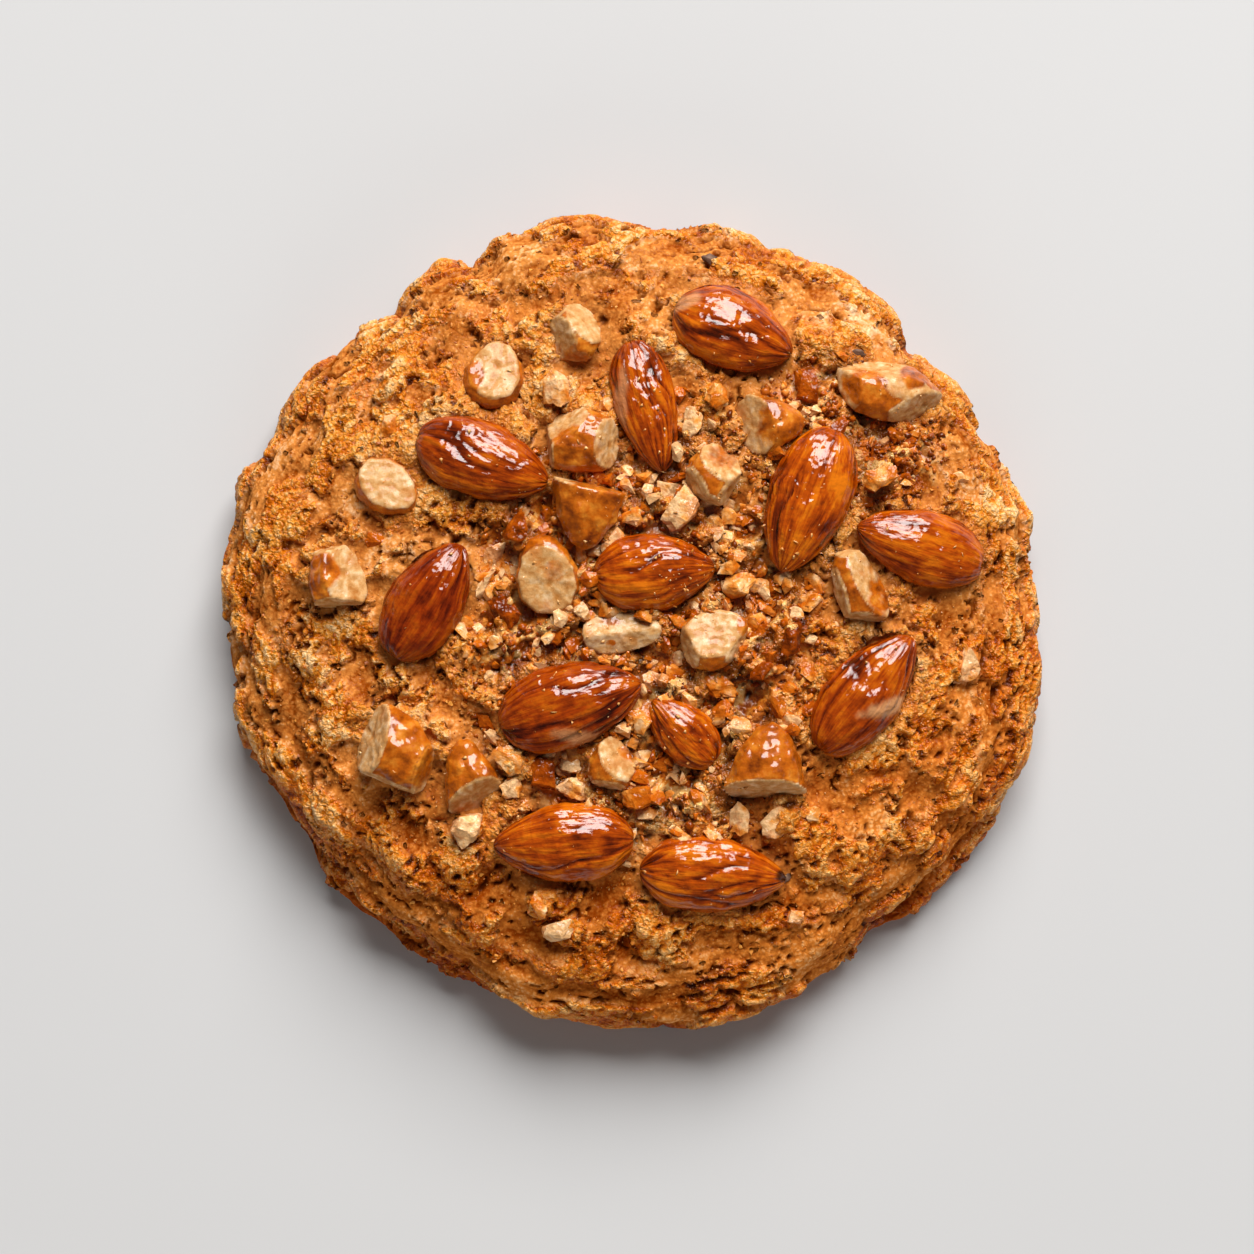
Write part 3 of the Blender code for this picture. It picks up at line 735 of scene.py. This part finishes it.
def chopped_almond(node, seed):
    """A solid's own cut kernel, its faces roughened, with spokes and a dimple on every cut."""
    piece = start_from_node(node, node + "_nut")
    flats = bmesh.new()
    flats.from_mesh(piece.data)
    bmesh.ops.dissolve_limit(
        flats, angle_limit=FLAT_WITHIN, verts=flats.verts[:], edges=flats.edges[:]
    )
    cuts = [
        (face.calc_center_median(), face.normal.copy(), face.normal.orthogonal())
        for face in flats.faces if len(face.verts) >= CUT_CORNERS
    ]
    flats.free()
    remeshed(piece, CHOPPED_SPACING, 0)
    cream = []
    rinds = []
    fibres = []
    places = []
    for vertex in piece.data.vertices:
        place = vertex.co.copy()
        off, middle, facing, across = min(
            (abs((place - middle).dot(facing)), middle, facing, across)
            for middle, facing, across in cuts
        )
        on_cut = 1.0 - smooth_step(CUT_REACH, CUT_REACH * 2.0, off)
        spoke = place - middle
        around = math.atan2(spoke.dot(facing.cross(across)), spoke.dot(across))
        ray = Vector((math.cos(around), math.sin(around), 0.0)) * 3.0 + Vector((0.0, 0.0, seed))
        fibre = noise.noise(ray) * smooth_step(*SPOKES_START, spoke.length / MM)
        dimple = 1.0 - smooth_step(*DIMPLE, spoke.length / MM)
        rough = noise.fractal(place / MM / ROUGH_WAVE + Vector((seed, 0.0, 0.0)), 0.8, 2.2, 3)
        chipped = wave(place / MM, CHIPPED_WAVE, (0.0, seed, 0.0))
        rise = rough * (ROUGH_RISE - SMOOTHER_ON_CUT * on_cut) + CHIPPED_RISE * chipped
        rise += on_cut * (SPOKE_RISE * fibre - DIMPLE_DEPTH * dimple)
        places.append(place + vertex.normal * (rise * MM))
        cream.append(on_cut * (1.0 - caramel_at(place / MM)))
        rinds.append(4.0 * on_cut * (1.0 - on_cut))
        fibres.append(fibre - 0.8 * dimple)
    piece.data.vertices.foreach_set("co", within_box(places).ravel())
    store(piece, "cut", cream)
    store(piece, "rind", rinds)
    store(piece, "fibre", fibres)
    shade_smooth(piece)
    return piece


def chopped_finish():
    """Cream nut meat with amber stains on the cut faces, glossy amber skin elsewhere."""
    shade = Shading("chopped almond")
    stains = shade.spread(shade.cloud(300.0, 4.0, 0.6), 0.50, 0.70)
    spokes = shade.spread(shade.value("fibre"), -0.6, 0.6, -0.16, 0.16)
    meat = shade.ramp(
        shade.add(shade.cloud(900.0, 4.0, 0.65), spokes),
        (0.25, linear(178, 116, 54)),
        (0.50, linear(204, 154, 96)),
        (0.75, linear(226, 192, 148)),
    )
    meat = shade.mix(shade.times(stains, 0.6), meat, linear(180, 98, 24))
    skin = shade.ramp(
        shade.cloud(360.0, 4.0, 0.6, shade.stretched(shade.place(), (1.0, 1.0, 0.35))),
        (0.30, linear(108, 42, 3)),
        (0.50, linear(182, 90, 10)),
        (0.70, linear(220, 138, 42)),
    )
    edge = shade.spread(shade.cloud(800.0, 2.0), 0.3, 0.7, -0.16, 0.16)
    edge = shade.add(shade.value("cut"), edge)
    colour = shade.mix(shade.spread(edge, 0.25, 0.75), skin, meat)
    colour = shade.mix(shade.times(shade.value("rind"), 0.8), colour, linear(140, 64, 8))
    rough = shade.spread(shade.value("cut"), 0.0, 1.0, 0.30, 0.55)
    wet = shade.spread(shade.value("cut"), 0.0, 1.0, 0.9, 0.3)
    return shade.end(
        colour, rough, Normal=shade.bump(shade.cloud(1400.0, 4.0, 0.6), 0.45, 0.0003),
        Coat_Normal=shade.bump(shade.cloud(520.0, 1.0), 0.6, 0.0006),
        Specular_IOR_Level=0.1, Coat_Weight=wet, Coat_Roughness=0.06,
    )


nut_finish = chopped_finish()
for number, node in enumerate(CHOPPED):
    piece = chopped_almond(node, 5.1 * number)
    piece.data.materials.append(nut_finish)
    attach(piece, "root")
    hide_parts(node)


# The baked-on chips. Shards of nut and caramel from 2 to 7 mm long, half sunk in the crust, each
# over its own small mound of the solid. x, y (mm), length, width, direction, and how brown it is.
CHIPS = (
    (-25.0, -30.9, 5.9, 5.0, 60, 0.05),
    (-10.8, -47.0, 5.2, 3.6, 20, 0.10),
    (-13.9, -43.2, 4.2, 3.6, -30, 0.35),
    (51.4, -6.3, 6.8, 4.6, 50, 0.08),
    (49.9, 21.8, 2.6, 2.2, 0, 0.15),
    (-36.9, 30.0, 3.9, 2.7, 80, 0.30),
    (-11.6, 35.2, 5.0, 4.0, 100, 0.25),
    (9.2, 30.6, 4.8, 3.0, 80, 0.15),
    (12.8, 34.0, 3.8, 3.4, 30, 0.40),
    (26.9, 35.4, 5.8, 3.8, 100, 0.75),
    (37.6, 22.0, 5.0, 4.4, 10, 0.40),
    (7.6, 17.0, 6.8, 4.6, 60, 0.12),
    (12.9, 14.9, 3.6, 3.2, 0, 0.30),
    (16.2, 5.4, 4.8, 4.2, 20, 0.30),
    (27.2, 3.0, 4.2, 3.2, 70, 0.35),
    (-16.9, 14.4, 5.4, 4.6, 30, 0.80),
    (-20.9, 9.9, 4.0, 3.2, 60, 0.15),
    (-19.6, 2.4, 6.4, 4.6, 120, 0.90),
    (-38.9, 12.3, 2.8, 2.4, 0, 0.60),
    (-18.9, -20.6, 5.4, 3.6, 130, 0.30),
    (-18.3, -25.3, 3.6, 3.0, 0, 0.20),
    (-13.2, -23.2, 5.6, 4.2, 100, 0.85),
    (0.9, -14.1, 3.4, 3.0, 0, 0.35),
    (-8.6, -21.5, 4.6, 3.4, 10, 0.20),
    (-8.2, -25.4, 5.4, 3.6, -20, 0.20),
    (12.6, -9.6, 6.2, 4.2, -30, 0.45),
    (19.6, -7.3, 4.0, 3.4, 80, 0.80),
    (21.8, -12.4, 5.0, 3.0, 100, 0.45),
    (19.6, -1.9, 4.2, 3.0, 10, 0.55),
    (24.3, -2.2, 5.6, 3.6, 80, 0.95),
    (16.2, -30.0, 4.4, 3.0, 90, 0.15),
    (22.0, -30.4, 5.0, 4.2, 40, 0.12),
    (27.4, -29.2, 2.6, 2.2, 0, 0.30),
    (24.9, -45.2, 2.6, 2.2, 0, 0.15),
    (31.0, 29.4, 4.0, 3.4, 40, 0.70),
    (1.0, -26.6, 4.6, 3.8, 20, 0.60),
)
CHIP_HEIGHT = 0.80
CHIP_GROWTH = 1.25
CHIP_SINK = 0.08
CHIP_TILT = 0.2
CHIP_SHAPES = 12
SHARD_POINTS = 13
NIBBLED = (2.2, 0.20)
ROUGHENED = (6.0, 0.11)
draw = random.Random(21)


def shard(draw, points):
    """An angular scrap about 2 across: the tight skin round a few random points."""
    mesh = bmesh.new()
    for _ in range(points):
        toward = Vector((draw.gauss(0, 1), draw.gauss(0, 1), draw.gauss(0, 1))).normalized()
        mesh.verts.new(toward * draw.uniform(0.82, 1.05))
    made = bmesh.ops.convex_hull(mesh, input=mesh.verts[:])
    spare = [item for item in made["geom_interior"] if isinstance(item, bmesh.types.BMVert)]
    bmesh.ops.delete(mesh, geom=spare, context="VERTS")
    face_outwards(mesh)
    return mesh


def template(mesh):
    """A small shape as plain arrays: its corners and its triangles."""
    bmesh.ops.triangulate(mesh, faces=mesh.faces[:])
    mesh.verts.index_update()
    corners = np.array([vertex.co for vertex in mesh.verts], np.float32)
    faces = np.array([[vertex.index for vertex in face.verts] for face in mesh.faces], np.int32)
    mesh.free()
    return corners, faces


def laid_out(name, shapes, spots):
    """One piece of many copies. A spot is (place, stretch in mm, turn matrix, tone)."""
    corners = []
    faces = []
    tones = []
    start = 0
    for number, (place, stretch, turn, tone) in enumerate(spots):
        points, triangles = shapes[number % len(shapes)]
        scaled = points * (np.array(stretch, np.float32) * MM / 2)
        corners.append(scaled @ np.array(turn, np.float32).T + np.array(place, np.float32))
        faces.append(triangles + start)
        tones += [tone] * len(points)
        start += len(points)
    mesh = bpy.data.meshes.new(name)
    corners = within_box(np.concatenate(corners))
    mesh.from_pydata(corners.tolist(), [], np.concatenate(faces).tolist())
    piece = bpy.data.objects.new(name, mesh)
    bpy.context.scene.collection.objects.link(piece)
    store(piece, "tone", tones)
    return piece


def finer_shard(draw, points, cuts=3):
    """A shard with its edges nibbled and its faces roughened."""
    mesh = shard(draw, points)
    bmesh.ops.triangulate(mesh, faces=mesh.faces[:])
    bmesh.ops.subdivide_edges(mesh, edges=mesh.edges[:], cuts=cuts, use_grid_fill=True)
    shift = Vector((draw.uniform(0, 50), 0.0, 0.0))
    bmesh.ops.smooth_vert(
        mesh, verts=mesh.verts[:], factor=0.2, use_axis_x=True, use_axis_y=True, use_axis_z=True
    )
    for vertex in mesh.verts:
        broad = NIBBLED[1] * noise.noise(vertex.co * NIBBLED[0] + shift)
        small = ROUGHENED[1] * noise.noise(vertex.co * ROUGHENED[0] + shift)
        vertex.co *= 1.0 + broad + small
    return template(mesh)


crust_tree = BVHTree.FromPolygons(
    [vertex.co.copy() for vertex in dough.data.vertices],
    [polygon.vertices[:] for polygon in dough.data.polygons],
)


def on_crust(x, y):
    """The finished crust straight below a place in mm: where, and which way it faces."""
    return crust_tree.ray_cast(Vector((x * MM, y * MM, SKY)), DOWN)[:2]


def turned(direction, tilt):
    """A turn about the upright, after a tilt, both in radians."""
    return Matrix.Rotation(direction, 3, "Z") @ Matrix.Rotation(tilt, 3, "X")


spots = []
for x, y, length, width, direction, tone in CHIPS:
    place, _ = on_crust(x, y)
    turn = turned(math.radians(direction), draw.uniform(-CHIP_TILT, CHIP_TILT))
    stretch = (length * CHIP_GROWTH, width * CHIP_GROWTH, width * CHIP_HEIGHT)
    spots.append((place - UP * (CHIP_SINK * width * MM), stretch, turn, tone))
shapes = [finer_shard(draw, SHARD_POINTS) for _ in range(CHIP_SHAPES)]
chips = laid_out("praline_chips", shapes, spots)


def praline_finish():
    """Nut crumbs from cream to caramel brown, by each one's own tone."""
    shade = Shading("praline bits")
    mottle = shade.spread(shade.cloud(420.0, 3.0), 0.3, 0.7, -0.26, 0.26)
    colour = shade.ramp(
        shade.add(shade.value("tone"), mottle),
        (0.0, linear(206, 158, 106)),
        (0.12, linear(244, 198, 144)),
        (0.30, linear(226, 148, 66)),
        (0.48, linear(196, 100, 16)),
        (0.75, linear(158, 66, 3)),
        (1.0, linear(94, 30, 0)),
    )
    coated = shade.spread(shade.value("tone"), 0.0, 0.8, 0.65, 0.1)
    colour = shade.mix(shade.times(shade.caramel_runs(), coated), colour, linear(190, 92, 12))
    return shade.end(
        colour, 0.5, Normal=shade.bump(shade.cloud(1300.0, 3.0, 0.6), 0.8, 0.0004),
        Coat_Normal=shade.bump(shade.cloud(900.0, 2.0), 0.9, 0.0006),
        Specular_IOR_Level=0.0, Coat_Weight=0.7, Coat_Roughness=0.06,
    )


bits_finish = praline_finish()
chips.data.materials.append(bits_finish)
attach(chips, "root")


# The dark bits. Three scraps of fruit or sugar scorched dark grey-brown, half sunk in the crust.
# x, y (mm), length, width and direction.
DARK_BITS = ((12.2, 55.0, 4.0, 2.4, -20), (34.4, 40.6, 3.8, 2.2, 35), (23.6, -38.7, 2.6, 1.9, 70))
DARK_HEIGHT = 0.6
DARK_SINK = 0.3 * MM
spots = []
for x, y, length, width, direction in DARK_BITS:
    place, _ = on_crust(x, y)
    turn = turned(math.radians(direction), 0.0)
    spots.append((place - UP * DARK_SINK, (length, width, width * DARK_HEIGHT), turn, 0.0))
shapes = [finer_shard(draw, SHARD_POINTS) for _ in DARK_BITS]
dark_bits = laid_out("dark_bits", shapes, spots)
shade_smooth(dark_bits)
shade = Shading("scorched bits")
scorched = shade.ramp(
    shade.cloud(600.0), (0.35, linear(78, 54, 42)), (0.65, linear(140, 110, 92))
)
dark_bits.data.materials.append(shade.end(
    scorched, 0.7, Normal=shade.bump(shade.cloud(1500.0), 0.6, 0.0004), Specular_IOR_Level=0.2
))
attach(dark_bits, "root")


# The nut shards. Small splinters of chopped almond that baked on between the nuts, thickest in the
# middle and where the topping spilled towards the upper right.
CRUST_REACH = 60.5
FULL_TURN = 6.28
TILT = 0.6
CLEAR_OF_NUT = 0.2 * MM
IN_GAPS = 0.15
CHIP_KEEPOUT = 0.42
LYING = 0.25


def scattered(draw, count, middle, reach, sizes, tones, sunk, edge=0.55, power=2.2):
    """Spots on the crust, clear of the nuts, thinning out towards the edge of the patch."""
    found = []
    while len(found) < count:
        angle = draw.uniform(0.0, 2.0 * math.pi)
        out = math.sqrt(draw.random())
        if draw.random() < (out - edge) / max(0.01, 1.0 - edge):
            continue
        x = middle[0] + math.cos(angle) * out * reach[0]
        y = middle[1] + math.sin(angle) * out * reach[1]
        place, facing = on_crust(x, y)
        if place is None:
            continue
        above = nuts.ray_cast(Vector((x * MM, y * MM, SKY)), DOWN)[0]
        if above is not None and above.z > place.z - CLEAR_OF_NUT:
            continue
        kept = IN_GAPS + (1.0 - IN_GAPS) * heap_at(place / MM)
        if draw.random() > kept and praline_share(place / MM) > 0.5:
            continue
        if any(math.hypot(x - chip[0], y - chip[1]) < CHIP_KEEPOUT * chip[2] for chip in CHIPS):
            continue
        size = sizes[0] + (sizes[1] - sizes[0]) * draw.random() ** power
        stretch = (size, size * draw.uniform(0.6, 1.0), size * draw.uniform(0.35, 0.75))
        turn = turned(draw.uniform(0, FULL_TURN), draw.uniform(-TILT, TILT))
        lifted = place + facing * (size * (LYING - sunk) * MM)
        found.append((lifted, stretch, turn, draw.uniform(*tones)))
    return found


small_shards = [template(shard(draw, 9)) for _ in range(10)]
tiny_shards = [template(shard(draw, 6)) for _ in range(8)]
nut_shards = laid_out("nut_shards", [finer_shard(draw, 9, 1) for _ in range(14)], scattered(
    draw, 330, PRALINE_MIDDLE, PRALINE_REACH,
    sizes=(1.4, 4.8), tones=(0.0, 0.70), sunk=0.20, power=1.2,
) + scattered(
    draw, 50, SPILL_MIDDLE, SPILL_REACH,
    sizes=(1.2, 3.4), tones=(0.2, 0.8), sunk=0.14, power=1.4,
))
nut_shards.data.materials.append(bits_finish)
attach(nut_shards, "root")


# The nut crumbs. The finest of the chopped almonds, from cream to caramel brown, baked on between
# the shards.
nut_crumbs = laid_out("nut_crumbs", small_shards, scattered(
    draw, 620, PRALINE_MIDDLE, PRALINE_REACH, sizes=(0.5, 1.9), tones=(0.2, 0.9), sunk=0.10
) + scattered(
    draw, 140, SPILL_MIDDLE, SPILL_REACH, sizes=(0.5, 1.7), tones=(0.1, 0.7), sunk=0.10
))
shade_smooth(nut_crumbs)
nut_crumbs.data.materials.append(bits_finish)
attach(nut_crumbs, "root")


# The caramel bits. Splinters of hard caramel from the broken praline, which half melted in the
# oven and lie glossy and dark between the crumbs.
caramel_bits = laid_out("caramel_bits", small_shards, scattered(
    draw, 420, PRALINE_MIDDLE, PRALINE_REACH, sizes=(0.5, 2.0), tones=(0.6, 1.0), sunk=0.18
) + scattered(
    draw, 300, SPILL_MIDDLE, SPILL_REACH, sizes=(0.5, 2.0), tones=(0.6, 1.0), sunk=0.18
))
shade_smooth(caramel_bits)
shade = Shading("caramel")
caramel_colour = shade.ramp(
    shade.value("tone"),
    (0.6, linear(190, 100, 22)),
    (0.8, linear(146, 64, 6)),
    (1.0, linear(92, 34, 2)),
)
caramel_bits.data.materials.append(shade.end(
    caramel_colour, 0.2, Normal=shade.bump(shade.cloud(900.0), 0.3, 0.0003),
    Specular_IOR_Level=0.0, Coat_Weight=0.9, Coat_Roughness=0.06,
))
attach(caramel_bits, "root")


# The sugar grains. Coarse sugar and tiny caramel drops, some stuck to the nuts and the rest sifted
# over the whole crust, where they glint.
GRAINS_ON_NUTS = 620
GRAINS_REACH = 0.8
GRAIN_SIZE = 0.3
GRAIN_GROWTH = 0.9
STEEPEST = 0.3
AWAY_FROM_PRALINE = 0.25
on_nuts = []
while len(on_nuts) < GRAINS_ON_NUTS:
    x = PRALINE_MIDDLE[0] + draw.uniform(-1.0, 1.0) * CRUST_REACH * GRAINS_REACH
    y = PRALINE_MIDDLE[1] + draw.uniform(-1.0, 1.0) * CRUST_REACH * GRAINS_REACH
    place, facing, _, _ = nuts.ray_cast(Vector((x * MM, y * MM, SKY)), DOWN)
    if place is None or facing.z < STEEPEST:
        continue
    kept = AWAY_FROM_PRALINE + (1.0 - AWAY_FROM_PRALINE) * praline_share(place / MM)
    if draw.random() > kept:
        continue
    size = GRAIN_SIZE + GRAIN_GROWTH * draw.random() ** 3
    turn = turned(draw.uniform(0.0, FULL_TURN), 0.0)
    on_nuts.append((place, (size, size * 0.7, size * 0.5), turn, draw.uniform(0.0, 1.0)))
sugar_grains = laid_out("sugar_grains", tiny_shards, on_nuts + scattered(
    draw, 2600, (0.0, 0.0), (CRUST_REACH, CRUST_REACH),
    sizes=(0.22, 0.5), tones=(0.0, 1.0), sunk=0.0, edge=0.8,
))
shade_smooth(sugar_grains)
shade = Shading("sugar")
sugar_colour = shade.ramp(
    shade.value("tone"), (0.0, linear(232, 184, 116)), (1.0, linear(200, 118, 36))
)
sugar_grains.data.materials.append(
    shade.end(sugar_colour, 0.12, Coat_Weight=0.5, Coat_Roughness=0.05)
)
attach(sugar_grains, "root")


# The crust crumbs. Bits that broke from the crust itself as it cracked, baked on again where they
# fell.
crust_crumbs = laid_out("crust_crumbs", small_shards, scattered(
    draw, 1600, (0.0, 0.0), (CRUST_REACH, CRUST_REACH),
    sizes=(0.35, 1.1), tones=(0.0, 1.0), sunk=0.22, edge=0.9,
))
shade = Shading("crust crumbs")
crumb_colour = shade.ramp(
    shade.value("tone"),
    (0.0, linear(158, 78, 10)),
    (0.5, linear(204, 116, 24)),
    (1.0, linear(234, 160, 66)),
)
crust_crumbs.data.materials.append(
    shade.end(crumb_colour, 0.5, Normal=shade.bump(shade.cloud(1800.0), 0.4, 0.0003))
)
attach(crust_crumbs, "root")


# The floor, lights and camera. A plain pale floor, a wide soft key light from above and behind, a
# weak low fill from the front, and a camera straight over the cookie.
FLOOR_SIZE = 4.0
bpy.ops.object.select_all(action="DESELECT")
bpy.ops.mesh.primitive_plane_add(size=FLOOR_SIZE, location=(0.0, 0.0, 0.0))
floor = bpy.context.object
floor.name = "floor"
shade = Shading("pale floor")
floor_colour = shade.ramp(
    shade.cloud(3.0), (0.0, linear(196, 196, 197)), (1.0, linear(200, 200, 201))
)
floor.data.materials.append(shade.end(floor_colour, 0.55))


def soft_light(name, place, size, watts, colour):
    """A square soft light that looks at the cookie."""
    lamp = bpy.data.lights.new(name, "AREA")
    lamp.shape = "SQUARE"
    lamp.size = size
    lamp.energy = watts
    lamp.color = colour
    light = bpy.data.objects.new(name, lamp)
    bpy.context.scene.collection.objects.link(light)
    light.location = place
    light.rotation_euler = (-Vector(place)).to_track_quat("-Z", "Y").to_euler()
    return light


soft_light("key", (0.44, 1.88, 1.68), size=1.75, watts=132.0, colour=(1.0, 0.985, 0.96))
fill = soft_light("fill", (0.05, -1.45, 0.45), size=0.9, watts=7.0, colour=(1.0, 0.94, 0.86))
fill.visible_glossy = False

sky = bpy.data.worlds.new("soft room")
sky.use_nodes = True
backdrop = sky.node_tree.nodes["Background"].inputs
backdrop["Color"].default_value = (0.93, 0.95, 1.0, 1.0)
backdrop["Strength"].default_value = 0.07
bpy.context.scene.world = sky
bpy.context.scene.view_settings.view_transform = "Standard"

PHOTO_PIXELS = 1254
MM_PER_PIXEL = 0.155
COOKIE_MIDDLE_PIXEL = (631.5, 621.5)
OUTLINE_HEIGHT = 7.5
LENS_MM = 105.0
SENSOR_MM = 36.0
view = bpy.data.cameras.new("camera")
view.lens = LENS_MM
view.sensor_width = SENSOR_MM
view.clip_start = 0.01
camera = bpy.data.objects.new("camera", view)
bpy.context.scene.collection.objects.link(camera)
distance = PHOTO_PIXELS * MM_PER_PIXEL * LENS_MM / SENSOR_MM + OUTLINE_HEIGHT
camera.location = (
    (PHOTO_PIXELS / 2 - COOKIE_MIDDLE_PIXEL[0]) * MM_PER_PIXEL * MM,
    (COOKIE_MIDDLE_PIXEL[1] - PHOTO_PIXELS / 2) * MM_PER_PIXEL * MM,
    distance * MM,
)
bpy.context.scene.camera = camera
